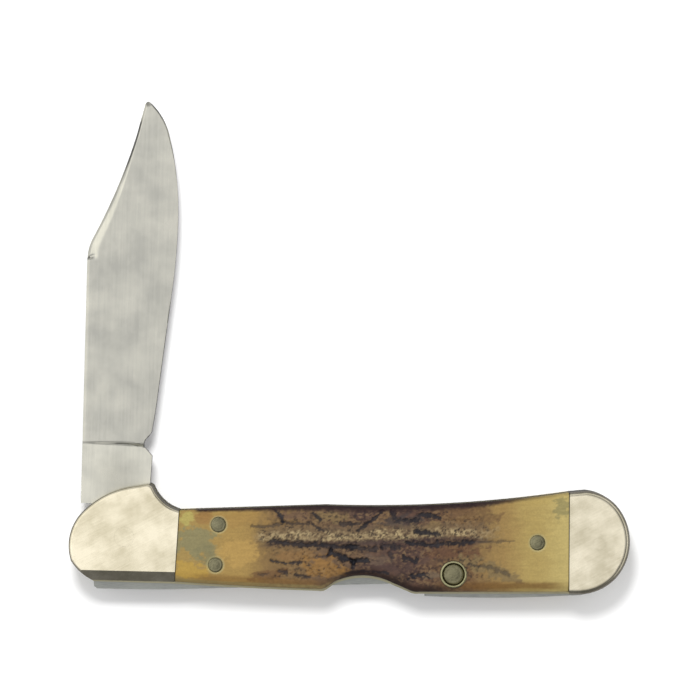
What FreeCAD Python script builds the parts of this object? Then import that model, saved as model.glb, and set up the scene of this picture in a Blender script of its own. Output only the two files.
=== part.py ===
import FreeCAD, Part
import math
import os

import Sketcher

# Stag-handled lockback folding knife, lying on its side with the blade half open.
# X runs along the handle from the front bolster to the butt, Y points the way the
# half-open blade points, and Z is the handle's thickness. The origin is on the
# blade pivot's axis, in the plane of the lower bolsters' outer faces.

doc = FreeCAD.newDocument("lockback_knife")
sheet = doc.addObject("Spreadsheet::Sheet", "Sizes")

DRIVING_SIZES = [
    # thickness stack, from the table up
    ("handle_thick", 10.4),
    ("bolster_thick", 3.35),
    ("scale_thick", 3.2),
    ("liner_thick", 0.6),
    ("spacer_thick", 2.5),
    ("blade_thick", 2.3),
    ("bar_thick", 2.4),
    ("spring_wide", 1.8),
    # blade pivot and tang
    ("pivot_rad", 1.6),
    ("cam_rad", 5.8),
    ("running_gap", 0.05),
    ("blade_rest_deg", 88.5),
    ("grind_long", 60.0),
    # lock bar
    ("rocker_x", 15.0),
    ("rocker_y", -4.62),
    ("rocker_rad", 0.75),
    ("boss_rad", 1.5),
    ("bar_lift_deg", 3.6),
    ("bar_end_rad", 34.7),
    ("bar_end_gap", 0.1),
    # rear end
    ("spring_pin_x", 54.1),
    ("spring_pin_y", -6.18),
    ("spring_pin_rad", 0.6),
    ("ring_out_rad", 2.22),
    ("ring_in_rad", 1.85),
    ("rear_pin_x", 78.0),
    ("rear_pin_y", -1.2),
    ("rear_pin_rad", 1.0),
    # cover pins
    ("front_cover_x", 15.5),
    ("front_cover_y", 1.98),
    ("rear_cover_x", 67.9),
    ("rear_cover_y", -0.99),
    ("cover_pin_rad", 0.8),
    ("cover_head_rad", 1.285),
    ("rocker_head_rad", 1.225),
    ("spring_head_rad", 1.65),
    ("spring_head_tall", 2.6),
    ("head_sink", 0.45),
    ("head_rise", 0.1),
    # edges
    ("edge_round", 0.5),
    ("butt_round", 0.9),
    ("scale_round", 1.3),
    ("bevel_wide", 1.65),
    ("bevel_deep", 0.9),
    ("press_gap", 0.01),
]

for row, (alias, number) in enumerate(DRIVING_SIZES, start=1):
    sheet.set("A%d" % row, alias)
    sheet.set("B%d" % row, str(number))
    sheet.setAlias("B%d" % row, alias)
doc.recompute()

NODES = []
LEAST_CUT = 1e-6
AT_ZERO = 1e-9


def size(expression):
    """Value of a sum of sheet aliases and numbers, for placing sketch geometry."""
    if not isinstance(expression, str):
        return float(expression)
    names = {alias: getattr(sheet, alias) for alias, number in DRIVING_SIZES}
    total = 0.0
    for term in expression.replace("-", "+-").split("+"):
        factor = 1.0
        for word in filter(None, term.split("*")):
            word = word.strip()
            if word.startswith("-"):
                factor = -factor
                word = word[1:].strip()
            factor *= names[word] if word in names else float(word)
        total += factor if term.strip() else 0.0
    return total


def bound(expression):
    """The same sum written for FreeCAD, with each alias read from the sheet."""
    text = " " + expression.replace("*", " * ").replace("+", " + ").replace("-", " - ") + " "
    for alias, number in DRIVING_SIZES:
        text = text.replace(" %s " % alias, " Sizes.%s " % alias)
    return text.strip()


def new_body(name):
    body = doc.addObject("PartDesign::Body", name)
    body.Label = name
    NODES.append(body)
    return body


def new_sketch(body, name, plane="XY_Plane", height=0.0):
    """A sketch on one of the body's own origin planes, raised by a sheet size."""
    sketch = body.newObject("Sketcher::SketchObject", body.Name + "_" + name)
    origin_plane = [f for f in body.Origin.OriginFeatures if f.Role == plane][0]
    sketch.AttachmentSupport = (origin_plane, [""])
    sketch.MapMode = "FlatFace"
    if isinstance(height, str):
        sketch.setExpression("AttachmentOffset.Base.z", bound(height))
    else:
        sketch.AttachmentOffset = FreeCAD.Placement(FreeCAD.Vector(0, 0, height), FreeCAD.Rotation())
    return sketch


def hold(sketch, kind, geometry, place, amount):
    """Fix one coordinate of a point; a sheet expression stays bound to its cells."""
    number = size(amount)
    if abs(number) < AT_ZERO:
        axis = -2 if kind == "DistanceX" else -1
        sketch.addConstraint(Sketcher.Constraint("PointOnObject", geometry, place, axis))
        return
    index = sketch.addConstraint(Sketcher.Constraint(kind, -1, 1, geometry, place, number))
    if isinstance(amount, str):
        sketch.renameConstraint(index, "size_%d" % index)
        sketch.setExpression("Constraints.size_%d" % index, bound(amount))


def trace(sketch, start, steps):
    """Closed outline from start; a step is (end,) for a line or (via, end) for an arc."""
    first = sketch.GeometryCount
    corners = [start] + [step[-1] for step in steps]
    heads = []
    for k, step in enumerate(steps):
        a = FreeCAD.Vector(size(corners[k][0]), size(corners[k][1]), 0)
        b = FreeCAD.Vector(size(step[-1][0]), size(step[-1][1]), 0)
        if len(step) == 1:
            sketch.addGeometry(Part.LineSegment(a, b), False)
            heads.append(1)
        else:
            heads.append(add_arc(sketch, a, FreeCAD.Vector(step[0][0], step[0][1], 0), b))
    for k, step in enumerate(steps):
        after = (k + 1) % len(steps)
        ends = (first + k, 3 - heads[k], first + after, heads[after])
        sketch.addConstraint(Sketcher.Constraint("Coincident", *ends))
        hold(sketch, "DistanceX", first + k, heads[k], corners[k][0])
        hold(sketch, "DistanceY", first + k, heads[k], corners[k][1])
        if len(step) == 2:
            radius = sketch.Geometry[first + k].Radius
            sketch.addConstraint(Sketcher.Constraint("Radius", first + k, radius))


def add_arc(sketch, a, via, b):
    """Arc from a through via to b; a sketch arc always runs anticlockwise, so this
    returns which of its two ends lies at a."""
    ahead = (via - a).cross(b - via).z > 0
    circle = Part.Arc(a, via, b).toShape().Curve
    begin, finish = (a, b) if ahead else (b, a)
    turn_from = math.atan2(begin.y - circle.Center.y, begin.x - circle.Center.x)
    turn_to = math.atan2(finish.y - circle.Center.y, finish.x - circle.Center.x)
    if turn_to < turn_from:
        turn_to += 2 * math.pi
    ring = Part.Circle(circle.Center, FreeCAD.Vector(0, 0, 1), circle.Radius)
    sketch.addGeometry(Part.ArcOfCircle(ring, turn_from, turn_to), False)
    return 1 if ahead else 2


def add_circle(sketch, x, y, radius):
    centre = FreeCAD.Vector(size(x), size(y), 0)
    circle = Part.Circle(centre, FreeCAD.Vector(0, 0, 1), size(radius))
    geometry = sketch.addGeometry(circle, False)
    hold(sketch, "DistanceX", geometry, 3, x)
    hold(sketch, "DistanceY", geometry, 3, y)
    index = sketch.addConstraint(Sketcher.Constraint("Radius", geometry, size(radius)))
    sketch.renameConstraint(index, "radius_%d" % index)
    sketch.setExpression("Constraints.radius_%d" % index, bound(radius))


def pad(body, sketch, length):
    feature = body.newObject("PartDesign::Pad", body.Name + "_pad")
    feature.Profile = sketch
    feature.setExpression("Length", bound(length))
    body.Tip = feature
    sketch.Visibility = False
    return feature


def pocket(body, sketch, length, name):
    """Cut from the sketch along its normal, and stop if the cut misses the solid."""
    doc.recompute()
    before = body.Shape.Volume
    feature = body.newObject("PartDesign::Pocket", body.Name + "_" + name)
    feature.Profile = sketch
    feature.setExpression("Length", bound(length))
    feature.Reversed = True
    body.Tip = feature
    doc.recompute()
    if body.Shape.Volume > before - LEAST_CUT:
        raise RuntimeError("%s cuts nothing" % feature.Name)


def edges_of(feature, wanted):
    """Names of the feature's edges whose every sampled point passes the test."""
    names = []
    for number, edge in enumerate(feature.Shape.Edges, start=1):
        points = edge.discretize(5)
        if all(wanted(p) for p in points):
            names.append("Edge%d" % number)
    return names


def round_edges(body, base, wanted, radius):
    doc.recompute()
    feature = body.newObject("PartDesign::Fillet", body.Name + "_round")
    feature.Base = (base, edges_of(base, wanted))
    feature.setExpression("Radius", bound(radius))
    body.Tip = feature


def bevel_edges(body, base, wanted, across, down, flip):
    """Chamfer reaching across the outer face and down the side; flip swaps the two."""
    doc.recompute()
    feature = body.newObject("PartDesign::Chamfer", body.Name + "_bevel")
    feature.Base = (base, edges_of(base, wanted))
    feature.ChamferType = "Two distances"
    feature.setExpression("Size", bound(across))
    feature.setExpression("Size2", bound(down))
    feature.FlipDirection = flip
    body.Tip = feature
    return feature


# Side-view outline of the handle, in runs that the liners, bolsters, covers and
# spacer share. Each run is a list of steps for trace().
SEAM_TOP_FRONT = (9.0, 4.32)
SEAM_TOP_REAR = (73.2, 7.25)
SEAM_LOW_FRONT = (8.2, -7.83)
SEAM_LOW_REAR = (73.1, -9.5)
NOSE_LOW = (-5.1, -7.42)

TOP_RUN = [
    ((20.0, 4.67), (33.0, 5.08)),
    ((52.0, 5.2), SEAM_TOP_REAR),
]
BUTT_RUN = [
    ((76.0, 7.5),),
    ((79.3, 6.43), (81.3, 4.62)),
    ((83.1, -0.61), (80.8, -6.84)),
    ((78.3, -8.66), (74.4, -9.5)),
    (SEAM_LOW_REAR,),
]
NOSE_RUN = [
    ((-7.42, -5.77), (-8.74, -3.96)),
    ((-9.13, -1.48), (-7.42, 3.46)),
    ((-4.12, 6.27), (0.82, 8.16)),
    ((3.7, 8.62),),
    ((4.3, 8.56), (4.75, 8.1)),
    ((6.3, 5.88), SEAM_TOP_FRONT),
]
# The nose of a bolster, starting at its own bottom corner just inside the liner's.
NOSE_LOW_INSET = (-5.25, -7.12)
NOSE_RUN_INSET = [((-7.32, -5.68), (-8.74, -3.96))] + NOSE_RUN[1:]
# Bottom edge of the liners, butt to nose, with the finger notch over the lock bar.
LINER_LOW_RUN = [
    ((48.4, -9.5),),
    ((47.5, -9.46), (46.8, -9.2)),
    ((43.4, -7.72),),
    ((38.9, -6.88), (34.4, -7.95)),
    ((33.3, -8.75),),
    ((32.7, -9.02), (31.8, -9.03)),
    ((20.0, -8.55), SEAM_LOW_FRONT),
    (NOSE_LOW,),
]
# Bottom edge of a cover: the same line, drawn in so that the liner shows below it.
SCALE_LOW_RUN = [
    ((48.4, -9.1),),
    ((47.5, -9.05), (46.7, -8.75)),
    ((43.2, -7.2),),
    ((38.9, -6.4), (34.7, -7.35)),
    ((33.2, -8.35),),
    ((32.5, -8.6), (31.8, -8.63)),
    ((20.0, -8.15), (8.23, -7.43)),
]

PIN_HOLES = [
    ("rocker_x", "rocker_y", "rocker_rad+press_gap"),
    ("spring_pin_x", "spring_pin_y", "spring_pin_rad+press_gap"),
    ("front_cover_x", "front_cover_y", "cover_pin_rad+press_gap"),
    ("rear_cover_x", "rear_cover_y", "cover_pin_rad+press_gap"),
]
TOP_OF = {"lower": 0.0, "upper": "handle_thick"}

# Limits for picking edges: on a face, this far beside a seam, between a seam's ends,
# and above the bolsters' bottom bevel.
ON_PLANE = 1e-4
BESIDE_SEAM = 0.3
HALF_UP_SEAM = (-6.0, 4.0)
BEVEL_TOP = -5.9


def outer_face(side):
    """Height of the face that a side's bolsters and covers show to the outside."""
    return size(TOP_OF[side])


def make_liner(side):
    body = new_body("liner_" + side)
    low = "bolster_thick" if side == "lower" else "handle_thick-bolster_thick-liner_thick"
    sketch = new_sketch(body, "outline", height=low)
    trace(sketch, NOSE_LOW, NOSE_RUN + TOP_RUN + BUTT_RUN + LINER_LOW_RUN)
    add_circle(sketch, 0.0, 0.0, "pivot_rad+press_gap")
    add_circle(sketch, "rear_pin_x", "rear_pin_y", "rear_pin_rad+press_gap")
    for x, y, radius in PIN_HOLES:
        add_circle(sketch, x, y, radius)
    pad(body, sketch, "liner_thick")


def make_front_bolster(side):
    """Nose bolster with its raised shoulder and the broad bevel along its bottom."""
    body = new_body("front_bolster_" + side)
    low = 0.0 if side == "lower" else "handle_thick-bolster_thick"
    sketch = new_sketch(body, "outline", height=low)
    bottom_right = (8.23, "rocker_y-2.81")
    trace(sketch, NOSE_LOW_INSET, NOSE_RUN_INSET + [(bottom_right,), (NOSE_LOW_INSET,)])
    add_circle(sketch, 0.0, 0.0, "pivot_rad+press_gap")
    base = pad(body, sketch, "bolster_thick")
    face = outer_face(side)

    def on_bottom_edge(p):
        return abs(p.z - face) < ON_PLANE and p.y < NOSE_LOW_INSET[1] + 0.02

    def on_nose_edge(p):
        off_the_pivot = math.hypot(p.x, p.y) > 2 * size("pivot_rad")
        between = SEAM_LOW_FRONT[0] - 0.2 > p.x and p.y > BEVEL_TOP
        return abs(p.z - face) < ON_PLANE and off_the_pivot and between

    bevel = bevel_edges(body, base, on_bottom_edge, "bevel_wide", "bevel_deep", side == "upper")
    round_edges(body, bevel, on_nose_edge, "edge_round")


def make_rear_bolster(side):
    body = new_body("rear_bolster_" + side)
    low = 0.0 if side == "lower" else "handle_thick-bolster_thick"
    sketch = new_sketch(body, "outline", height=low)
    trace(sketch, SEAM_TOP_REAR, BUTT_RUN + [(SEAM_TOP_REAR,)])
    add_circle(sketch, "rear_pin_x", "rear_pin_y", "rear_pin_rad+press_gap")
    base = pad(body, sketch, "bolster_thick")
    face = outer_face(side)

    def around_the_butt(p):
        off_the_seam = p.x > SEAM_TOP_REAR[0] + BESIDE_SEAM or abs(p.y) >= SEAM_TOP_REAR[1] - 0.05
        from_pin = math.hypot(p.x - size("rear_pin_x"), p.y - size("rear_pin_y"))
        return abs(p.z - face) < ON_PLANE and from_pin > 2 * size("rear_pin_rad") and off_the_seam

    round_edges(body, base, around_the_butt, "butt_round")


def make_scale(side):
    """Stag cover, filed round along its long edges, bored for its pins and ring."""
    body = new_body("scale_" + side)
    lower = side == "lower"
    low = "bolster_thick-scale_thick" if lower else "handle_thick-bolster_thick"
    sketch = new_sketch(body, "outline", height=low)
    rear_low = (73.1, -9.1)
    trace(
        sketch,
        SEAM_TOP_FRONT,
        TOP_RUN + [(rear_low,)] + SCALE_LOW_RUN + [(SEAM_TOP_FRONT,)],
    )
    base = pad(body, sketch, "scale_thick")
    face = size(low) if lower else size(low + "+scale_thick")
    round_edges(
        body,
        base,
        lambda p: abs(p.z - face) < ON_PLANE and on_long_edge(p),
        "scale_round",
    )
    doc.recompute()
    through = new_sketch(body, "pin_holes", height=low)
    for x, y, radius in PIN_HOLES:
        add_circle(through, x, y, radius if x != "spring_pin_x" else "ring_out_rad+press_gap")
    pocket(body, through, "scale_thick", "pin_holes")
    sink_low = low if lower else low + "+scale_thick-head_sink"
    sinks = new_sketch(body, "head_seats", height=sink_low)
    add_circle(sinks, "rocker_x", "rocker_y", "rocker_head_rad+press_gap")
    add_circle(sinks, "front_cover_x", "front_cover_y", "cover_head_rad+press_gap")
    add_circle(sinks, "rear_cover_x", "rear_cover_y", "cover_head_rad+press_gap")
    pocket(body, sinks, "head_sink", "head_seats")


def on_long_edge(p):
    """True on a cover's top and bottom edges, False on its two seams."""
    on_seam = False
    for low, top in ((SEAM_LOW_FRONT, SEAM_TOP_FRONT), (SEAM_LOW_REAR, SEAM_TOP_REAR)):
        seam_x = low[0] + (p.y - low[1]) * (top[0] - low[0]) / (top[1] - low[1])
        beside = abs(p.x - seam_x) < BESIDE_SEAM
        on_seam = on_seam or (beside and HALF_UP_SEAM[0] < p.y < HALF_UP_SEAM[1])
    return not on_seam


def lathe(name, x, y, height, profile):
    """Turned piece on a Z axis at x, y; profile steps are (radius, height) corners."""
    body = new_body(name)
    sketch = new_sketch(body, "section", plane="XZ_Plane")
    trace(sketch, profile[0], profile[1:])
    turned = body.newObject("PartDesign::Revolution", body.Name + "_turned")
    turned.Profile = sketch
    turned.ReferenceAxis = (sketch, ["V_Axis"])
    turned.Angle = 360.0
    body.Tip = turned
    sketch.Visibility = False
    for axis, amount in (("x", x), ("y", y), ("z", height)):
        body.setExpression("Placement.Base." + axis, bound(amount))
    return body


def crown(radius, rim):
    """Steps over a spun head's low crown, from its rim to its axis."""
    top = rim + "+head_rise"
    return [((radius + "*0.62", top),), ((0.0, top),), ((0.0, 0.0),)]


def make_through_pin(name, x, y, radius, head_radius, shoulder, head_tall):
    """Pin through the whole handle; shoulder is its head's seat above mid-thickness."""
    rim = shoulder + "+" + head_tall
    body = lathe(
        name,
        x,
        y,
        "handle_thick*0.5",
        [
            (0.0, 0.0),
            ((radius, 0.0),),
            ((radius, shoulder),),
            ((head_radius, shoulder),),
            ((head_radius, rim),),
        ]
        + crown(head_radius, rim),
    )
    doc.recompute()
    halves = body.newObject("PartDesign::Mirrored", body.Name + "_halves")
    halves.Originals = [body.Tip]
    middle = [f for f in body.Origin.OriginFeatures if f.Role == "XY_Plane"][0]
    halves.MirrorPlane = (middle, [""])
    body.Tip = halves


def make_cover_pin(name, x, y, side):
    """Short pin that rivets one cover to its liner; only its own head shows."""
    shoulder = "liner_thick+scale_thick-head_sink"
    rim = "liner_thick+scale_thick"
    upper = side == "upper"
    foot = "handle_thick-bolster_thick-liner_thick" if upper else "bolster_thick+liner_thick"
    body = lathe(
        name,
        x,
        y,
        foot,
        [
            (0.0, 0.0),
            (("cover_pin_rad", 0.0),),
            (("cover_pin_rad", shoulder),),
            (("cover_head_rad", shoulder),),
            (("cover_head_rad", rim),),
        ]
        + crown("cover_head_rad", rim),
    )
    if not upper:
        turned_over = FreeCAD.Rotation(FreeCAD.Vector(1, 0, 0), 180)
        body.Placement = FreeCAD.Placement(body.Placement.Base, turned_over)


def make_ring(side):
    """Collar let into a cover round the spring pin's recessed head."""
    foot = "handle_thick-bolster_thick" if side == "upper" else "bolster_thick-scale_thick"
    lathe(
        "spring_pin_collar_" + side,
        "spring_pin_x",
        "spring_pin_y",
        foot,
        [
            ("ring_in_rad", 0.0),
            (("ring_out_rad", 0.0),),
            (("ring_out_rad", "scale_thick"),),
            (("ring_in_rad", "scale_thick"),),
            (("ring_in_rad", 0.0),),
        ],
    )


def make_flush_pin(name, x, y, radius):
    """Bolster pin, peened and ground flush with both bolsters."""
    body = new_body(name)
    sketch = new_sketch(body, "section")
    add_circle(sketch, x, y, radius)
    pad(body, sketch, "handle_thick")


# The flat grinds of the blade start here, in front of the ricasso.
PLUNGE_AT = 15.2


def make_blade():
    """Clip-point blade and tang, drawn with the pivot at 0 and the tip along +X."""
    body = new_body("blade")
    sketch = new_sketch(body, "outline")
    trace(
        sketch,
        (5.25, 7.45),
        [
            ((45.6, 7.45),),
            ((47.2, 7.25), (48.8, 6.72)),
            ((57.2, 2.92), (66.3, -0.16)),
            ((68.6, -0.72), (70.9, -1.33)),
            ((71.55, -1.52), (71.8, -1.95)),
            ((71.5, -2.45),),
            ((69.6, -4.08), (66.5, -5.5)),
            ((60.0, -6.84), (52.7, -7.37)),
            ((46.7, -7.2), (40.8, -6.7)),
            ((20.9, -4.5),),
            ((17.2, -3.95),),
            ((16.5, -3.6), (16.15, -3.15)),
            ((15.45, -2.72), (14.6, -2.95)),
            ((13.3, -4.1),),
            ((9.06, -3.89),),
            ((-4.845, -3.188),),
            ((-5.8, 0.0), (-4.915, 3.08)),
            ((-3.66, 3.08),),
            ((-3.66, 4.5),),
            ((0.0, 5.8), (3.05, 4.934)),
            ((3.05, 3.6),),
            ((5.25, 3.6),),
            ((5.25, 7.45),),
        ],
    )
    add_circle(sketch, 0.0, 0.0, "pivot_rad+running_gap")
    pad(body, sketch, "blade_thick")
    hollow = new_sketch(body, "grind", plane="YZ_Plane", height=PLUNGE_AT)
    for outer, inner in ((0.0, "blade_thick*0.42"), ("blade_thick", "blade_thick*0.58")):
        trace(hollow, (7.0, outer), [((-8.2, outer),), ((-8.2, inner),), ((7.0, outer),)])
    pocket(body, hollow, "grind_long", "grind")
    upright = FreeCAD.Rotation(FreeCAD.Vector(0, 0, 1), size("blade_rest_deg"))
    body.Placement = FreeCAD.Placement(FreeCAD.Vector(0, 0, 0), upright)
    body.setExpression("Placement.Base.z", bound("handle_thick*0.5-blade_thick*0.5"))
    body.setExpression("Placement.Rotation.Angle", bound("blade_rest_deg"))


# The lock bar's upper edge leaves the boss round its pin at this angle.
BOSS_TO_TAIL = math.radians(20.0)


def from_rocker(x, y):
    return (x - size("rocker_x"), y - size("rocker_y"))


def make_lock_bar():
    """Lock bar, drawn as it lies flush and then tipped about its rocker pin."""
    body = new_body("lock_bar")
    sketch = new_sketch(body, "outline")
    reach = size("bar_end_rad")
    end_low, end_mid, end_high = [(math.sqrt(reach**2 - y**2), y) for y in (-5.27, -4.4, -3.48)]
    boss = size("boss_rad")
    tail_start = (boss * math.cos(BOSS_TO_TAIL), boss * math.sin(BOSS_TO_TAIL))
    trace(
        sketch,
        from_rocker(-5.36, -3.7),
        [
            (from_rocker(-3.4, -3.7),),
            (from_rocker(-3.4, -4.84),),
            (from_rocker(0.4, -5.9), from_rocker(4.62, -3.7)),
            (from_rocker(12.6, -3.6),),
            (from_rocker(13.9, -3.6),),
            ((0.0, boss), tail_start),
            (end_high,),
            (end_mid, end_low),
            (from_rocker(8.24, -8.38),),
            (from_rocker(1.8, -7.97), from_rocker(-4.85, -7.4)),
            (from_rocker(-5.3, -7.0),),
            (from_rocker(-5.36, -3.7),),
        ],
    )
    add_circle(sketch, 0.0, 0.0, "rocker_rad+running_gap")
    pad(body, sketch, "bar_thick")
    place = FreeCAD.Vector(size("rocker_x"), size("rocker_y"), 0.0)
    tipped = FreeCAD.Rotation(FreeCAD.Vector(0, 0, 1), size("bar_lift_deg"))
    body.Placement = FreeCAD.Placement(place, tipped)
    body.setExpression("Placement.Base.x", bound("rocker_x"))
    body.setExpression("Placement.Base.y", bound("rocker_y"))
    body.setExpression("Placement.Base.z", bound("handle_thick*0.5-bar_thick*0.5"))
    body.setExpression("Placement.Rotation.Angle", bound("bar_lift_deg"))


# The leaf spring lies on this ledge of the spacer, in a slot just thicker than the leaf.
LEDGE_Y = -5.35
LEAF_THICK = 0.35
SLOT_SLACK = 0.02


def make_back_spacer():
    """Solid back between the liners from the lock bar's end round the butt."""
    body = new_body("back_spacer")
    sketch = new_sketch(body, "outline", height="bolster_thick+liner_thick")
    reach = size("bar_end_rad+bar_end_gap")
    rocker = (size("rocker_x"), size("rocker_y"))

    def beside_bar_end(y):
        return (rocker[0] + math.sqrt(reach**2 - (y - rocker[1]) ** 2), y)

    slot_end = 65.0
    slot_top = LEDGE_Y + LEAF_THICK + SLOT_SLACK
    trace(
        sketch,
        beside_bar_end(-9.9),
        [
            (beside_bar_end(-7.6), beside_bar_end(LEDGE_Y)),
            ((slot_end, LEDGE_Y),),
            ((slot_end, slot_top),),
            ((57.0, slot_top),),
            ((57.4, -4.5),),
            ((65.8, -3.5), (73.1, 0.4)),
            (SEAM_TOP_REAR,),
        ]
        + BUTT_RUN[:3]
        + [
            ((78.3, -8.72), (73.4, -9.81)),
            ((62.0, -10.2), beside_bar_end(-9.9)),
        ],
    )
    add_circle(sketch, "spring_pin_x", "spring_pin_y", "spring_pin_rad+press_gap")
    add_circle(sketch, "rear_pin_x", "rear_pin_y", "rear_pin_rad+press_gap")
    pad(body, sketch, "spacer_thick")


def make_lock_spring():
    """Flat leaf seated in the spacer's slot, its tip resting on the bar's tail."""
    body = new_body("lock_spring")
    sketch = new_sketch(body, "strip", height="handle_thick*0.5-spring_wide*0.5")
    top = LEDGE_Y + LEAF_THICK
    trace(
        sketch,
        (64.9, LEDGE_Y),
        [
            ((64.9, top),),
            ((50.0, top),),
            ((43.0, -5.18),),
            ((42.75, -5.34), (43.0, -5.53)),
            ((50.0, LEDGE_Y),),
            ((64.9, LEDGE_Y),),
        ],
    )
    pad(body, sketch, "spring_wide")


make_blade()
make_lock_bar()
make_back_spacer()
make_lock_spring()
make_flush_pin("pivot_pin", 0.0, 0.0, "pivot_rad")
make_flush_pin("rear_bolster_pin", "rear_pin_x", "rear_pin_y", "rear_pin_rad")
for side in ("lower", "upper"):
    make_liner(side)
    make_front_bolster(side)
    make_rear_bolster(side)
    make_scale(side)
    make_ring(side)
    make_cover_pin("cover_pin_front_" + side, "front_cover_x", "front_cover_y", side)
    make_cover_pin("cover_pin_rear_" + side, "rear_cover_x", "rear_cover_y", side)
# Seats of the through pins' heads, measured from mid-thickness.
IN_COVER = "handle_thick*0.5-bolster_thick+scale_thick-head_sink"
ON_LINER = "handle_thick*0.5-bolster_thick"
make_through_pin(
    "rocker_pin",
    "rocker_x",
    "rocker_y",
    "rocker_rad",
    "rocker_head_rad",
    IN_COVER,
    "head_sink",
)
make_through_pin(
    "spring_pin",
    "spring_pin_x",
    "spring_pin_y",
    "spring_pin_rad",
    "spring_head_rad",
    ON_LINER,
    "spring_head_tall",
)

doc.recompute()
for item in doc.Objects:
    if "Invalid" in item.State or "Error" in item.State:
        raise RuntimeError("%s did not build: %s" % (item.Name, item.State))
for node in NODES:
    if node.Shape.isNull() or not node.Shape.isValid():
        raise RuntimeError("%s has no valid solid" % node.Label)

os.makedirs("parts", exist_ok=True)
for node in NODES:
    node.Shape.exportStep("parts/%s.step" % node.Label)
print("%d parts written" % len(NODES))
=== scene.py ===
import math

import bmesh
import bpy
from mathutils import Matrix, Vector, noise


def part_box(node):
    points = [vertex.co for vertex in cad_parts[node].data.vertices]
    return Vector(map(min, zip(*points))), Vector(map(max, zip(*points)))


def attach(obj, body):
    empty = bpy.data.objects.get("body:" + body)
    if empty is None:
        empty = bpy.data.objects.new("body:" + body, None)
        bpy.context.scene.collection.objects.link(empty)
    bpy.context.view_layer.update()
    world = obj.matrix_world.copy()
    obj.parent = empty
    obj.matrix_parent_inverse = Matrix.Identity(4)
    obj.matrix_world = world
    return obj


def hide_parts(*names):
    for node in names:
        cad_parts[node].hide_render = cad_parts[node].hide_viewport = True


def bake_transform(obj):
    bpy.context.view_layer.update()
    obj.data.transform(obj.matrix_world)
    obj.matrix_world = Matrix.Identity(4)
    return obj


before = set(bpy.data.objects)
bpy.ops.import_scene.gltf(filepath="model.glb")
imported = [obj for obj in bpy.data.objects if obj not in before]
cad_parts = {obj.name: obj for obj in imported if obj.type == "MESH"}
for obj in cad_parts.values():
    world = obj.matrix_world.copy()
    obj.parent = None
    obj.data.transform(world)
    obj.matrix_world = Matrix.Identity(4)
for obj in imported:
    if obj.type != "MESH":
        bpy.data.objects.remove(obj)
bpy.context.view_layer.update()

MM = 0.001

# ---------------------------------------------------------------- camera and studio
# The knife is looked at from straight above as it lies on a white table. A small round
# softbox stands beyond the knife and throws the soft shadow on its near side, and the room
# round it gives the metals their reflections. Nothing here belongs to the object.
VIEW_CENTRE = (37.1 * MM, 30.67 * MM)
LENS = 250.0
SEEN_WIDTH = 115.4 * MM
SUBJECT_HEIGHT = 7 * MM

camera_data = bpy.data.cameras.new("camera")
camera_data.lens = LENS
camera_data.clip_start = 0.01
camera = bpy.data.objects.new("camera", camera_data)
distance = SEEN_WIDTH * LENS / camera_data.sensor_width
camera.location = (VIEW_CENTRE[0], VIEW_CENTRE[1], SUBJECT_HEIGHT + distance)
bpy.context.scene.collection.objects.link(camera)
bpy.context.scene.camera = camera
bpy.context.scene.view_settings.view_transform = "Standard"


def colour(hex_text):
    """Linear red, green, blue and alpha for an sRGB hex value."""
    parts = [int(hex_text[k : k + 2], 16) / 255 for k in (0, 2, 4)]
    linear = [p / 12.92 if p <= 0.04045 else ((p + 0.055) / 1.055) ** 2.4 for p in parts]
    return (*linear, 1.0)


def add_node(material, kind, settings=(), links=()):
    """A node with its settings (attributes or inputs) and links from other nodes' outputs."""
    tree = material.node_tree
    node = tree.nodes.new(kind)
    for key, value in dict(settings).items():
        if isinstance(key, str) and hasattr(node, key):
            setattr(node, key, value)
        else:
            node.inputs[key].default_value = value
    for key, (source, output) in dict(links).items():
        tree.links.new(source.outputs[output], node.inputs[key])
    return node


def new_material(name):
    """An empty node material and its Principled shader, already joined to the output."""
    material = bpy.data.materials.new(name)
    material.use_nodes = True
    shader = material.node_tree.nodes["Principled BSDF"]
    return material, shader


def feed(material, shader, socket, node, output):
    material.node_tree.links.new(node.outputs[output], shader.inputs[socket])


# The table is near white to the camera and to diffuse light but dark grey to glossy rays: a painted dark
# reflection in the metals.
table_material, table_shader = new_material("white_card")
path = add_node(table_material, "ShaderNodeLightPath")
table_white_and_painted_reflection = add_node(
    table_material,
    "ShaderNodeMix",
    {"data_type": "RGBA"},
    {0: (path, "Is Glossy Ray")},
)
for number, value in ((6, (0.95, 0.95, 0.95, 1)), (7, (0.15, 0.15, 0.16, 1))):
    table_white_and_painted_reflection.inputs[number].default_value = value
feed(table_material, table_shader, "Base Color", table_white_and_painted_reflection, 2)
table_shader.inputs["Roughness"].default_value = 0.9
table_shader.inputs["Specular IOR Level"].default_value = 0.0
table_mesh = bpy.data.meshes.new("table")
table_form = bmesh.new()
bmesh.ops.create_grid(table_form, x_segments=2, y_segments=2, size=3.0)
table_form.to_mesh(table_mesh)
table_form.free()
table = bpy.data.objects.new("table", table_mesh)
table_mesh.materials.append(table_material)
bpy.context.scene.collection.objects.link(table)
table.location.z = -0.02 * MM

world = bpy.data.worlds.new("studio")
world.use_nodes = True
bpy.context.scene.world = world
sky = world.node_tree.nodes["Background"]
direction = add_node(world, "ShaderNodeTexCoord")
leaning = add_node(
    world,
    "ShaderNodeVectorMath",
    {"operation": "DOT_PRODUCT", 1: (-0.29, 0.08, 0.953)},
    {0: (direction, "Generated")},
)
dome = add_node(world, "ShaderNodeValToRGB", links={0: (leaning, "Value")})
DOME_GREYS = ((0.66, 0.13), (0.88, 0.74), (0.953, 1.0))
dome.color_ramp.elements[0].position = 0.35
dome.color_ramp.elements[0].color = (0.08, 0.082, 0.09, 1)
dome.color_ramp.elements[1].position = 1.0
dome.color_ramp.elements[1].color = (1.5, 1.48, 1.4, 1)
for height, grey in DOME_GREYS:
    dome.color_ramp.elements.new(height).color = (grey, grey, grey * 1.01, 1)
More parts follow.
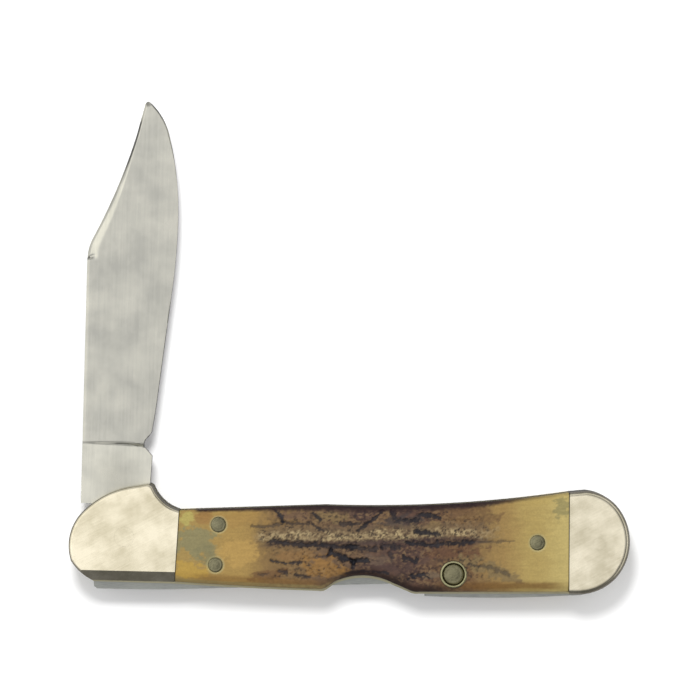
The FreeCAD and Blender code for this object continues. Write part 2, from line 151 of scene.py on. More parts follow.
# A paler ring low down, open on the near side, draws a light band round turned-down edges.
axes = add_node(world, "ShaderNodeSeparateXYZ", links={0: (direction, "Generated")})
ring = add_node(world, "ShaderNodeValToRGB", links={0: (axes, "Z")})
ring.color_ramp.elements[0].position = 0.1
ring.color_ramp.elements[0].color = (0, 0, 0, 1)
ring.color_ramp.elements[1].position = 0.7
ring.color_ramp.elements[1].color = (0, 0, 0, 1)
for height in (0.24, 0.56):
    ring.color_ramp.elements.new(height).color = (0.62, 0.62, 0.6, 1)
open_side = add_node(
    world,
    "ShaderNodeMapRange",
    {"From Min": -0.72, "From Max": -0.4, "To Min": 0.06},
    {"Value": (axes, "Y")},
)
band = add_node(
    world, "ShaderNodeVectorMath", {"operation": "SCALE"}, {0: (ring, "Color"), "Scale": (open_side, 0)}
)
whole = add_node(
    world, "ShaderNodeVectorMath", {"operation": "ADD"}, {0: (dome, "Color"), 1: (band, 0)}
)
seen_by = add_node(world, "ShaderNodeLightPath")
studio = add_node(
    world,
    "ShaderNodeMix",
    {"data_type": "RGBA"},
    {0: (seen_by, "Is Glossy Ray"), 7: (whole, 0)},
)
studio.inputs[6].default_value = (0.86, 0.86, 0.86, 1)
world.node_tree.links.new(studio.outputs[2], sky.inputs["Color"])
sky.inputs["Strength"].default_value = 1.0

softbox_data = bpy.data.lights.new("softbox", "AREA")
softbox_data.shape = "DISK"
softbox_data.size = 0.13
softbox_data.energy = 1.75
softbox = bpy.data.objects.new("softbox", softbox_data)
softbox.location = (-0.01, 0.21, 0.45)
softbox.visible_glossy = False
aim = Vector((0.037, 0.02, 0.0)) - softbox.location
softbox.rotation_euler = aim.to_track_quat("-Z", "Y").to_euler()
bpy.context.scene.collection.objects.link(softbox)


def new_piece(name, form, material):
    """A mesh object made from a bmesh, smooth-shaded, with one material."""
    mesh = bpy.data.meshes.new(name)
    form.to_mesh(mesh)
    form.free()
    mesh.materials.append(material)
    for face in mesh.polygons:
        face.use_smooth = True
    piece = bpy.data.objects.new(name, mesh)
    bpy.context.scene.collection.objects.link(piece)
    return piece


def dress(node, material):
    """Give a CAD node one material in place of its plain one."""
    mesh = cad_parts[node].data
    mesh.materials.clear()
    mesh.materials.append(material)


def smoothstep(low, high, amount):
    t = min(1.0, max(0.0, (amount - low) / (high - low)))
    return t * t * (3 - 2 * t)


# ---------------------------------------------------------------- bolsters and their pins
# Nickel silver, a pale warm copper-nickel alloy, cast to shape, ground flat and polished
# to a soft satin. Handling has left fine slanting scratches; its few tiny dings are not drawn.
NICKEL = "FAF1D8"
NICKEL_SHADE = "D3CAAF"
SCRATCH_SPACING = 0.26 * MM
DULL_PATCH = 4.0 * MM


def brushed_metal(name, light, dark, turn, spacing, patch, rough, stretch=14.0, bump=0.25, cloud=0.35):
    """Polished metal with fine scratches one way and faint cloudy patches."""
    material, shader = new_material(name)
    place = add_node(material, "ShaderNodeTexCoord")
    lie = add_node(
        material,
        "ShaderNodeMapping",
        {"vector_type": "TEXTURE", "Rotation": (0, 0, math.radians(turn)), "Scale": (stretch, 1.0, 1.0)},
        {"Vector": (place, "Object")},
    )
    scratches = add_node(
        material,
        "ShaderNodeTexNoise",
        {"Scale": 1 / spacing, "Detail": 4.0, "Roughness": 0.65},
        {"Vector": (lie, 0)},
    )
    clouds = add_node(
        material,
        "ShaderNodeTexNoise",
        {"Scale": 1 / patch, "Detail": 3.0, "Roughness": 0.55},
        {"Vector": (place, "Object")},
    )
    mixed = add_node(
        material,
        "ShaderNodeMix",
        {"data_type": "FLOAT", 0: cloud},
        {2: (scratches, "Fac"), 3: (clouds, "Fac")},
    )
    tint = add_node(material, "ShaderNodeValToRGB", links={0: (mixed, 0)})
    tint.color_ramp.elements[0].position = 0.36
    tint.color_ramp.elements[0].color = colour(dark)
    tint.color_ramp.elements[1].position = 0.64
    tint.color_ramp.elements[1].color = colour(light)
    gloss = add_node(
        material,
        "ShaderNodeMapRange",
        {"From Min": 0.3, "From Max": 0.7, "To Min": rough * 0.75, "To Max": rough * 1.3},
        {"Value": (mixed, 0)},
    )
    relief = add_node(
        material,
        "ShaderNodeBump",
        {"Strength": bump, "Distance": 0.004 * MM},
        {"Height": (scratches, "Fac")},
    )
    shader.inputs["Metallic"].default_value = 1.0
    feed(material, shader, "Base Color", tint, "Color")
    feed(material, shader, "Roughness", gloss, 0)
    feed(material, shader, "Normal", relief, 0)
    return material


nickel_silver = brushed_metal(
    "polished_nickel_silver",
    NICKEL,
    NICKEL_SHADE,
    28,
    SCRATCH_SPACING,
    DULL_PATCH,
    0.2,
    stretch=16.0,
    bump=0.05,
    cloud=0.8,
)
for part in ("front_bolster", "rear_bolster"):
    for side in ("upper", "lower"):
        dress(part + "_" + side, nickel_silver)
dress("pivot_pin", nickel_silver)
dress("rear_bolster_pin", nickel_silver)

# ---------------------------------------------------------------- liners, spacer, lock bar
# Liners are nickel-silver sheet left plain; the back spacer and the lock bar are spring
# steel, ground along their length and handled to a grey shine.
liner_metal = brushed_metal("sheet_nickel_silver", "B9B498", "97927A", 0, 0.12 * MM, 6 * MM, 0.38)
back_steel = brushed_metal("ground_spring_steel", "A9ABA6", "808280", 0, 0.1 * MM, 7 * MM, 0.34)
for side in ("upper", "lower"):
    dress("liner_" + side, liner_metal)
dress("back_spacer", back_steel)
dress("lock_bar", back_steel)

# ---------------------------------------------------------------- blade
# Clip-point blade of satin-finished tool steel, ground from one bar: flat ricasso and
# tang, tapered grinds behind a plunge line, a narrow swedge along the clip, a fine edge.
BLADE_TURN = 88.5
SPINE = 7.45
HALF_THICK = 1.15
PLUNGE = 15.0
TIP = (71.8, -1.95)
SWEDGE_START = 45.6
SWEDGE_DROP = 0.22
CLIP_LINE_WIDE = 0.34
CLIP_LINE_DROP = 0.17
GRIND_SLOPE = 0.0636
GRIND_TOP = 7.0
NICK_MIDDLE = 33.0
NICK_HALF = 5.0
NICK_DEEP = 0.42
MID_HEIGHT = 5.2
LIFT_OVER = 10.4


def arc_at(x, a, via, b):
    """Height at x of the circle through three points, on the side where via lies."""
    ax, ay = a
    bx, by = via
    cx, cy = b
    d = 2 * (ax * (by - cy) + bx * (cy - ay) + cx * (ay - by))
    a2, b2, c2 = ax * ax + ay * ay, bx * bx + by * by, cx * cx + cy * cy
    ux = (a2 * (by - cy) + b2 * (cy - ay) + c2 * (ay - by)) / d
    uy = (a2 * (cx - bx) + b2 * (ax - cx) + c2 * (bx - ax)) / d
    r2 = (ax - ux) ** 2 + (ay - uy) ** 2
    lift = math.sqrt(max(0.0, r2 - (x - ux) ** 2))
    return uy + lift if by > uy else uy - lift


def line_at(x, a, b):
    return a[1] + (b[1] - a[1]) * (x - a[0]) / (b[0] - a[0])


def along(x, spans):
    """Height at x of an outline given as spans of two points (line) or three (arc)."""
    for span in spans:
        if x <= span[-1][0] or span is spans[-1]:
            return line_at(x, *span) if len(span) == 2 else arc_at(x, *span)


CLIP_SPANS = [
    ((0.0, SPINE), (45.6, SPINE)),
    ((45.6, SPINE), (47.2, 7.25), (48.8, 6.72)),
    ((48.8, 6.72), (57.2, 2.92), (66.3, -0.16)),
    ((66.3, -0.16), (68.6, -0.72), (70.9, -1.33)),
    ((70.9, -1.33), (71.55, -1.52), (71.8, -1.85)),
]
EDGE_SPANS = [
    ((14.0, -3.1), (15.4, -2.75), (16.3, -3.3)),
    ((16.3, -3.3), (17.2, -3.95)),
    ((17.2, -3.95), (20.9, -4.5)),
    ((20.9, -4.5), (40.8, -6.7)),
    ((40.8, -6.7), (46.7, -7.2), (52.7, -7.37)),
    ((52.7, -7.37), (60.0, -6.84), (66.5, -5.5)),
    ((66.5, -5.5), (69.6, -4.08), (71.5, -2.45)),
    ((71.5, -2.45), (71.8, -2.05)),
]


def blade_half_thickness(u, v, nicked):
    """Half thickness at a point of the blade: grind, swedge, edge bevel and taper."""
    top, low = along(u, CLIP_SPANS), along(u, EDGE_SPANS)
    sunk = 0.09 + 0.08 * (1 - smoothstep(16, 34, u))
    ground = HALF_THICK - sunk - GRIND_SLOPE * max(0.0, GRIND_TOP - v)
    ground *= 1 - 0.3 * smoothstep(38, 72, u) ** 2
    from_clip = (top - v) * 0.92
    wide = 1.45 * (1 - 0.8 * smoothstep(46, 66, u)) + 0.05
    on_clip = smoothstep(SWEDGE_START - 0.2, SWEDGE_START + 0.2, u)
    ground -= SWEDGE_DROP * on_clip * (1 - min(1.0, from_clip / wide))
    line = CLIP_LINE_DROP * (1 - min(1.0, from_clip / CLIP_LINE_WIDE))
    ground -= line * on_clip * (1 - smoothstep(67, 70, u))
    groove = abs(u - SWEDGE_START - 0.15 - 0.35 * (top - v)) / 0.28
    ground -= 0.16 * max(0.0, 1 - groove) * (1 - smoothstep(0.7, 1.6, top - v))
    from_edge = v - low
    ground = min(ground, 0.06 + max(0.0, from_edge) * (3.2 - 2.4 * smoothstep(58, 66, u)))
    ground = min(ground, 0.02 + 0.37 * math.hypot(u - TIP[0], 0.7 * (v - TIP[1])))
    behind = smoothstep(PLUNGE - 0.05, PLUNGE + 0.55, u + 0.012 * (v - 2) ** 2 * (v < 2))
    half = HALF_THICK + (ground - HALF_THICK) * behind
    if nicked:
        reach = abs(u - NICK_MIDDLE) / NICK_HALF
        dip = max(0.0, 1 - reach**2)
        half -= NICK_DEEP * dip * smoothstep(4.6 - 0.7 * dip, 5.9, v) * (1 - smoothstep(5.9, 6.0, v))
    return half


def blade_side(form, side):
    """One ground face of the blade as a fine grid between its edge and its spine."""
    grid = bmesh.ops.create_grid(form, x_segments=300, y_segments=56, size=0.5)
    for vertex in grid["verts"]:
        u = PLUNGE - 0.4 + (vertex.co.x + 0.5) * (TIP[0] - PLUNGE + 0.4)
        t = 0.5 - 0.5 * math.cos(math.pi * (vertex.co.y + 0.5))
        low, top = along(u, EDGE_SPANS), along(u, CLIP_SPANS)
        v = low + (top - low) * t
        vertex.co = (u, v, side * blade_half_thickness(u, v, side < 0))


def to_rest(form):
    """Turn and lift a form drawn along the blade's own axis, in mm, into the frame."""
    turn = Matrix.Rotation(math.radians(BLADE_TURN), 4, "Z")
    lift = Matrix.Translation((0, 0, MID_HEIGHT * MM))
    bmesh.ops.transform(form, matrix=lift @ turn @ Matrix.Scale(MM, 4), verts=form.verts)


ground_blade = bmesh.new()
blade_side(ground_blade, 1)
blade_side(ground_blade, -1)
rims = [e for e in ground_blade.edges if e.is_boundary]
bmesh.ops.bridge_loops(ground_blade, edges=rims)
to_rest(ground_blade)
bmesh.ops.remove_doubles(ground_blade, verts=ground_blade.verts, dist=0.004 * MM)
bmesh.ops.recalc_face_normals(ground_blade, faces=ground_blade.faces)

blade_steel = brushed_metal(
    "satin_tool_steel",
    "DBD9CD",
    "BDBCB3",
    BLADE_TURN,
    0.4 * MM,
    6 * MM,
    0.22,
    stretch=26.0,
    bump=0.04,
    cloud=0.74,
)

# The tang's colour is darker in a soft cloud above the bolster.
DARK_CLOUD_CENTRE = (-1.1 * MM, 9.6 * MM, 6.35 * MM)
blade_shader = blade_steel.node_tree.nodes["Principled BSDF"]
blade_tint = blade_shader.inputs["Base Color"].links[0].from_node
blade_place = add_node(blade_steel, "ShaderNodeTexCoord")
dark_cloud_reach = add_node(
    blade_steel,
    "ShaderNodeVectorMath",
    {"operation": "DISTANCE", 1: DARK_CLOUD_CENTRE},
    {0: (blade_place, "Object")},
)
dark_cloud = add_node(
    blade_steel,
    "ShaderNodeMapRange",
    {"From Min": 1.0 * MM, "From Max": 5.2 * MM, "To Min": 0.76},
    {"Value": (dark_cloud_reach, "Value")},
)
cloud_darkened_tint = add_node(
    blade_steel,
    "ShaderNodeVectorMath",
    {"operation": "SCALE"},
    {0: (blade_tint, "Color"), "Scale": (dark_cloud, 0)},
)
feed(blade_steel, blade_shader, "Base Color", cloud_darkened_tint, 0)

tang = bmesh.new()
tang.from_mesh(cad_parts["blade"].data)
bmesh.ops.remove_doubles(tang, verts=tang.verts, dist=0.001 * MM)
blade_axis = Vector((math.cos(math.radians(BLADE_TURN)), math.sin(math.radians(BLADE_TURN)), 0))
bmesh.ops.bisect_plane(
    tang,
    geom=tang.verts[:] + tang.edges[:] + tang.faces[:],
    plane_co=blade_axis * (PLUNGE - 0.4) * MM,
    plane_no=blade_axis,
    clear_outer=True,
)
bmesh.ops.holes_fill(tang, edges=[e for e in tang.edges if e.is_boundary])
ground_mesh = bpy.data.meshes.new("ground_blade")
ground_blade.to_mesh(ground_mesh)
ground_blade.free()
tang.from_mesh(ground_mesh)
blade = new_piece("blade_ground", tang, blade_steel)
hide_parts("blade")
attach(blade, "blade")
blade.data.set_sharp_from_angle(angle=math.radians(25))

# ---------------------------------------------------------------- pins and collars
# Rivets of nickel-silver wire, hammered over into low domed heads and polished down;
# they have tarnished to an olive grey, and the joint round them shows darker.
pin_metal = brushed_metal("tarnished_rivet", "A09B7C", "6F6B54", 40, 0.2 * MM, 1.2 * MM, 0.4, stretch=2.0)
ring_metal = brushed_metal("worn_collar", "CBC69C", "9F9B74", 40, 0.2 * MM, 1.5 * MM, 0.38, stretch=2.0)


def turned(name, profile, centre, side, material, steps=48):
    """A piece turned on a vertical axis from its half section, radius and height in mm."""
    form = bmesh.new()
    rim = [form.verts.new((r * MM, 0, z * MM)) for r, z in profile]
    for a, b in zip(rim, rim[1:]):
        form.edges.new((a, b))
    bmesh.ops.spin(
        form,
        geom=form.verts[:] + form.edges[:],
        axis=(0, 0, 1),
        cent=(0, 0, 0),
        steps=steps,
        angle=2 * math.pi,
        use_merge=True,
    )
    bmesh.ops.remove_doubles(form, verts=form.verts, dist=0.002 * MM)
    if side == "lower":
        flip = Matrix.Translation((0, 0, LIFT_OVER * MM)) @ Matrix.Scale(-1, 4, (0, 0, 1))
        bmesh.ops.transform(form, matrix=flip, verts=form.verts)
    bmesh.ops.translate(form, vec=(centre[0] * MM, centre[1] * MM, 0), verts=form.verts)
    bmesh.ops.recalc_face_normals(form, faces=form.faces)
    return new_piece(name, form, material)


def centre_of(node):
    low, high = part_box(node)
    return ((low.x + high.x) / 2 / MM, (low.y + high.y) / 2 / MM)


def head_profile(radius, shank, top, low):
    """Half section of a rivet: shank, seat and a low dome with a faint tool ring."""
    return [
        (0.0, low),
        (shank, low),
        (shank, top - 0.42),
        (radius * 0.97, top - 0.42),
        (radius, top - 0.2),
        (radius * 0.985, top - 0.1),
        (radius * 0.93, top - 0.04),
        (radius * 0.72, top + 0.02),
        (radius * 0.66, top + 0.0),
        (radius * 0.6, top + 0.025),
        (radius * 0.3, top + 0.05),
        (0.0, top + 0.06),
    ]


COVER_FACE = 10.27
for where in ("front", "rear"):
    for side in ("upper", "lower"):
        node = "cover_pin_%s_%s" % (where, side)
        head = turned(node + "_rivet", head_profile(1.285, 0.8, COVER_FACE, 6.45), centre_of(node), side,
                      pin_metal)
        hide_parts(node)
        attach(head, "handle")

# ---------------------------------------------------------------- stag covers
# Slabs of deer antler, sawn, fitted between the bolsters and buffed. The ends and edges
# are cut through to honey-coloured horn; the middle keeps the dark, pitted bark.
FRONT_SEAM = ((8.2, -7.83), (9.0, 4.32))
REAR_SEAM = ((73.1, -9.5), (73.2, 7.25))
TOP_SPANS = [
    ((9.0, 4.32), (20.0, 4.67), (33.0, 5.08)),
    ((33.0, 5.08), (52.0, 5.2), (73.2, 7.25)),
]
LOW_SPANS = [
    ((8.23, -7.43), (20.0, -8.15), (31.8, -8.63)),
    ((31.8, -8.63), (32.5, -8.6), (33.2, -8.35)),
    ((33.2, -8.35), (34.7, -7.35)),
    ((34.7, -7.35), (38.9, -6.4), (43.2, -7.2)),
    ((43.2, -7.2), (46.7, -8.75)),
    ((46.7, -8.75), (47.5, -9.05), (48.4, -9.1)),
    ((48.4, -9.1), (73.1, -9.1)),
]
# Colour patches of the horn: centre, half length and half width in mm, turn in degrees,
# strength and colour. They lie over a ground that goes from honey to brown and back.
GROUND = [(8.0, "A88D50"), (19.0, "AB8C4D"), (25.0, "83673F"), (34.0, "6C543D"), (46.0, "5A4136"),
          (56.0, "735638"), (62.0, "A0824B"), (67.0, "B49C5B"), (73.5, "C6B26F")]
PATCHES = [
    (11.6, -1.0, 3.7, 2.6, -18, 0.9, "8E875F"),
    (13.6, -3.0, 1.6, 1.5, -50, 0.85, "87805A"),
    (10.1, 3.2, 1.8, 1.3, 0, 0.95, "B9AA60"),
    (12.9, 3.2, 1.6, 1.1, -10, 0.8, "9A7340"),
    (10.8, -5.6, 3.0, 1.5, -12, 0.85, "BE9B46"),
    (18.9, -2.6, 3.4, 2.4, 0, 0.75, "BD9A55"),
    (18.4, 2.8, 5.0, 1.2, 2, 0.5, "A68346"),
    (23.8, -6.3, 3.2, 1.0, 4, 0.8, "70502F"),
    (29.0, -3.1, 4.6, 0.9, 0, 0.7, "8E6A3E"),
    (33.0, -5.2, 3.4, 1.6, -4, 0.85, "976F38"),
    (28.5, 3.4, 2.6, 1.0, 0, 0.8, "6E5440"),
    (34.4, 3.3, 2.6, 0.9, 0, 0.8, "826C48"),
    (39.4, 3.7, 2.3, 1.0, 0, 0.85, "574038"),
    (42.7, 2.7, 1.7, 1.3, 0, 0.8, "7E6242"),
    (46.6, 2.6, 3.4, 1.1, 0, 0.8, "413836"),
    (51.2, 2.0, 2.0, 0.7, 8, 0.8, "8F7446"),
    (47.5, -2.9, 6.0, 1.5, 3, 0.8, "5B4339"),
    (54.0, -2.5, 4.6, 1.0, 4, 0.85, "66462F"),
    (43.6, -5.0, 5.4, 1.0, -2, 0.85, "4C3630"),
    (41.6, -3.8, 2.4, 0.9, -8, 0.7, "6A5646"),
    (56.8, 2.6, 4.8, 1.5, 6, 0.75, "785B38"),
    (60.6, -5.5, 4.8, 1.2, -20, 0.85, "84704A"),
    (72.0, 4.7, 1.3, 1.7, 0, 0.75, "938A5A"),
    (50.2, -6.4, 2.2, 0.6, 0, 0.7, "766550"),
    (45.8, -7.0, 2.0, 0.7, -18, 0.8, "49352A"),
]
# Dark fissures in the bark, each a run of points in mm, then half width, strength, depth.
FISSURES = [
    ([(25.0, 4.1), (25.8, 3.4), (26.0, 2.5)], 0.32, 0.9, 0.24),
    ([(26.0, 2.5), (27.4, 2.2), (30.4, 2.1)], 0.26, 0.6, 0.12),
    ([(31.1, 3.9), (31.6, 3.3), (32.3, 2.8)], 0.26, 0.85, 0.18),
    ([(31.0, 2.0), (31.8, 1.5), (32.7, 1.0)], 0.24, 0.8, 0.15),
    ([(35.6, 2.2), (38.5, 2.1)], 0.34, 0.65, 0.15),
    ([(38.4, 1.0), (39.8, 2.0), (41.3, 3.2), (42.2, 4.1)], 0.34, 0.85, 0.24),
    ([(43.9, 4.0), (44.5, 2.8), (48.2, 2.5)], 0.4, 0.75, 0.22),
    ([(48.6, 3.7), (51.8, 3.1)], 0.46, 0.9, 0.26),
    ([(48.0, 0.9), (49.6, 0.7), (51.6, 0.4)], 0.46, 0.92, 0.28),
    ([(20.9, 1.7), (23.0, 1.7), (25.4, 2.0)], 0.3, 0.55, 0.1),
    ([(24.2, -0.7), (27.4, -1.2), (33.6, -1.5), (38.0, -1.9)], 0.5, 0.8, 0.3),
    ([(37.0, -1.6), (40.4, -2.2), (41.4, -1.9)], 0.5, 0.7, 0.24),
    ([(42.4, -1.4), (45.0, -1.7)], 0.5, 0.75, 0.22),
    ([(46.6, -1.1), (49.5, -1.4), (53.4, -1.1), (57.6, -0.9)], 0.42, 0.88, 0.3),
    ([(57.4, -0.9), (61.0, -0.8), (64.0, -0.7)], 0.2, 0.5, 0.06),
    ([(34.0, -2.7), (35.5, -3.3), (37.6, -4.0)], 0.52, 0.95, 0.4),
    ([(37.2, -4.0), (40.1, -4.0)], 0.4, 0.92, 0.34),
    ([(37.7, -3.9), (37.6, -5.0)], 0.3, 0.85, 0.25),
    ([(31.2, -3.3), (33.6, -3.1)], 0.22, 0.65, 0.1),
    ([(24.1, -3.9), (25.8, -4.2), (26.6, -4.5)], 0.26, 0.85, 0.16),
    ([(27.2, -4.3), (29.0, -4.2)], 0.3, 0.8, 0.15),
    ([(25.4, -5.6), (26.6, -5.9)], 0.5, 0.7, 0.18),
    ([(28.0, -6.3), (30.3, -6.7)], 0.36, 0.75, 0.15),
    ([(22.0, -6.1), (23.4, -6.2)], 0.3, 0.5, 0.08),
    ([(46.0, -3.6), (47.8, -4.0)], 0.46, 0.85, 0.24),
    ([(43.5, -2.5), (44.0, -3.5)], 0.3, 0.6, 0.12),
    ([(46.9, -6.5), (49.4, -6.3)], 0.46, 0.9, 0.24),
    ([(36.4, -6.0), (39.8, -5.6), (43.4, -6.0)], 0.26, 0.85, 0.05),
    ([(56.6, -4.6), (60.2, -5.0), (63.2, -6.2)], 0.4, 0.5, 0.12),
]
RING_CENTRE = centre_of("spring_pin")
COVER_ROUND = 2.3
COVER_DROP = 1.25
HORN_LIGHT = 0.63
COVER_SEAT = 7.05
COVER_THICK = 3.22
PIN_DIMPLE = 0.25
RECESS_RADIUS = 2.1


def ellipse(x, y, patch, wobble):
    """1 inside a turned ellipse, fading to 0 just outside a ragged edge."""
    cx, cy, long_half, wide_half, turn = patch[:5]
    c, s = math.cos(math.radians(turn)), math.sin(math.radians(turn))
    dx, dy = x - cx, y - cy
    if abs(dx) > long_half + wide_half + 2 or abs(dy) > long_half + wide_half + 2:
        return 0.0
    across = math.hypot((dx * c + dy * s) / long_half, (dy * c - dx * s) / wide_half)
    return 1 - smoothstep(0.78, 1.16, across + wobble)


def off_run(x, y, run):
    """Distance from a point to a run of straight pieces, or a large number far away."""
    if x < run[0][0] - 2 or x > run[-1][0] + 2:
        return 9.0
    spot = Vector((x, y))
    nearest = 9.0
    for a, b in zip(run, run[1:]):
        start, step = Vector(a), Vector(b) - Vector(a)
        part = min(1.0, max(0.0, (spot - start).dot(step) / step.length_squared))
        nearest = min(nearest, (spot - start - step * part).length)
    return nearest


def ground_tone(x):
    for (x0, a), (x1, b) in zip(GROUND, GROUND[1:]):
        if x <= x1:
            t = smoothstep(x0, x1, x)
            return [p + (q - p) * t for p, q in zip(colour(a)[:3], colour(b)[:3])]
    return list(colour(GROUND[-1][1])[:3])


def blend_tone(tone, hex_text, amount):
    goal = colour(hex_text)
    return [p + (q - p) * amount for p, q in zip(tone, goal)]


def grain(x, y, seed, size, stretch=1.0, octaves=3):
    """Fractal noise about 0, size in mm, drawn out along X by stretch."""
    spot = Vector((x / size / stretch + seed, y / size + seed * 2.3, seed * 0.7))
    return noise.fractal(spot, 0.6, 2.1, octaves)


def curls(x, y, seed, size):
    """Short dark curling pores: 1 on them, 0 between them."""
    line = abs(grain(x, y, seed, size, 1.2, 2))
    gate = smoothstep(-0.15, 0.2, grain(x, y, seed + 31, size * 1.6, 1.3, 1))
    return (1 - smoothstep(0.05, 0.2, line)) * gate


def stag(x, y, seed):
    """Colour, height change in mm and barkiness of a cover at a point."""
    warp = 0.5 * grain(x, y, seed, 1.3, 1.4)
    ragged = 0.6 * grain(x, y, seed + 5, 0.5, 1.5)
    mottle = grain(x, y, seed + 3, 0.42, 1.3, 4)
    tone = ground_tone(x + 1.5 * warp)
    for patch in PATCHES:
        tone = blend_tone(tone, patch[6], patch[5] * ellipse(x, y, patch, 1.3 * warp + 0.5 * ragged))
    height = 0.03 * warp
    middle = smoothstep(21, 27, x) * (1 - smoothstep(56, 64, x))
    bark = middle * smoothstep(-0.35, 0.45, grain(x, y, seed + 9, 1.6, 2.2) + 0.25 * (y > 0.5))
    tone = blend_tone(tone, "8C7350", 0.5 * bark * smoothstep(-0.05, 0.5, mottle))
    tone = blend_tone(tone, "2F2A2C", 0.7 * bark * smoothstep(0.1, 0.55, -mottle))
    crest = 0.05 + 0.55 * smoothstep(43, 49, x) + 0.12 * math.sin(x * 0.5)
    reach = smoothstep(20.6, 23.0, x + ragged) * (1 - smoothstep(57, 63, x + 2 * ragged))
    rise = y - crest
    upper = 1 - smoothstep(1.0, 2.2, rise + 0.9 * ragged)
    lower = 1 - smoothstep(0.55, 0.95, -rise + 0.6 * ragged)
    porous = reach * min(upper, lower)
    pale = reach * (1 - smoothstep(0.35, 1.0, abs(rise) + 1.0 * ragged))
    pale *= 0.55 + 0.45 * smoothstep(-0.3, 0.3, grain(x, y, seed + 41, 2.0, 1.5, 2))
    pores = curls(x, y, seed + 17, 0.5)
    tone = blend_tone(tone, "7A664C", 0.7 * porous)
    tone = blend_tone(tone, "BBA67B", 0.85 * pale * smoothstep(-0.45, 0.25, mottle))
    tone = blend_tone(tone, "2E2726", 0.85 * porous * pores)
    height += 0.1 * porous - 0.09 * porous * pores + 0.04 * mottle * bark
    under = reach * smoothstep(0.5, 0.9, -rise) * (1 - smoothstep(1.0, 2.4, -rise + 0.5 * warp))
    tone = blend_tone(tone, "3B2F33", 0.55 * under)
    swell = 1.1 - 0.7 * grain(x, y, seed + 23, 1.1, 1.0, 2)
    for run, half, strength, depth in FISSURES:
        gap = off_run(x, y, run)
        if gap < 2.4 * half:
            deep = 1 - smoothstep(0.5, 1.25, gap / half * swell + 1.1 * ragged + 0.5 * mottle)
            tone = blend_tone(tone, "22232B", strength * deep)
            height -= depth * deep
    top, low = along(x, TOP_SPANS), along(x, LOW_SPANS)
    band = 0.45 + 0.6 * smoothstep(14, 40, x) - 0.6 * smoothstep(54, 66, x)
    shade = 1 - smoothstep(0.35, 1.3, (top - y) / band + 0.3 * ragged)
    shade *= smoothstep(11.3, 12.3, x) * (1 - 0.75 * smoothstep(60, 71, x))
    tone = blend_tone(tone, "2A191E", 0.93 * shade)
    from_low = y - low
    singe = 1 - smoothstep(0.25, 0.9, abs(from_low - 1.05) + 0.3 * warp)
    tone = blend_tone(tone, "85602F", 0.5 * singe * smoothstep(9, 14, x) * (1 - smoothstep(30, 34, x)))
    tone = blend_tone(tone, "7A5628", 0.7 * singe * smoothstep(50, 56, x) * (1 - smoothstep(69, 74, x)))
    strip = (1 - smoothstep(0.45, 0.85, from_low + 0.2 * warp)) * (1 - smoothstep(31, 36, x))
    tone = blend_tone(tone, "938050", 0.85 * strip)
    dark_low = smoothstep(33, 37, x) * (1 - smoothstep(50, 57, x))
    tone = blend_tone(tone, "2B1D1A", 0.8 * dark_low * (1 - smoothstep(0.5, 1.4, from_low + 0.3 * ragged)))
    streaks = grain(x, y, seed + 14, 0.35, 9.0, 2)
    tone = [HORN_LIGHT * p * (1 + 0.1 * streaks + 0.14 * mottle * middle + 0.05 * mottle) for p in tone]
    return tone, height, max(porous, bark)


def cover_point(along_x, across):
    """X and Y in mm of a point given by its fractions along and across a cover."""
    y = -1.0
    x = 40.0
    for k in range(4):
        front = line_at(y, (FRONT_SEAM[0][1], FRONT_SEAM[0][0]), (FRONT_SEAM[1][1], FRONT_SEAM[1][0]))
        rear = line_at(y, (REAR_SEAM[0][1], REAR_SEAM[0][0]), (REAR_SEAM[1][1], REAR_SEAM[1][0]))
        x = front + 0.05 + (rear - front - 0.1) * along_x
        y = along(x, LOW_SPANS) + (along(x, TOP_SPANS) - along(x, LOW_SPANS)) * across
    return x, y


def cover_height(x, y):
    """Height of a cover's filed face above the liner: flat, then round to its edges."""
    inset = min(along(x, TOP_SPANS) - y, y - along(x, LOW_SPANS))
    fall = max(0.0, 1 - max(0.0, inset) / COVER_ROUND)
    return COVER_THICK - COVER_DROP * (1 - math.sqrt(max(0.0, 1 - fall * fall)))


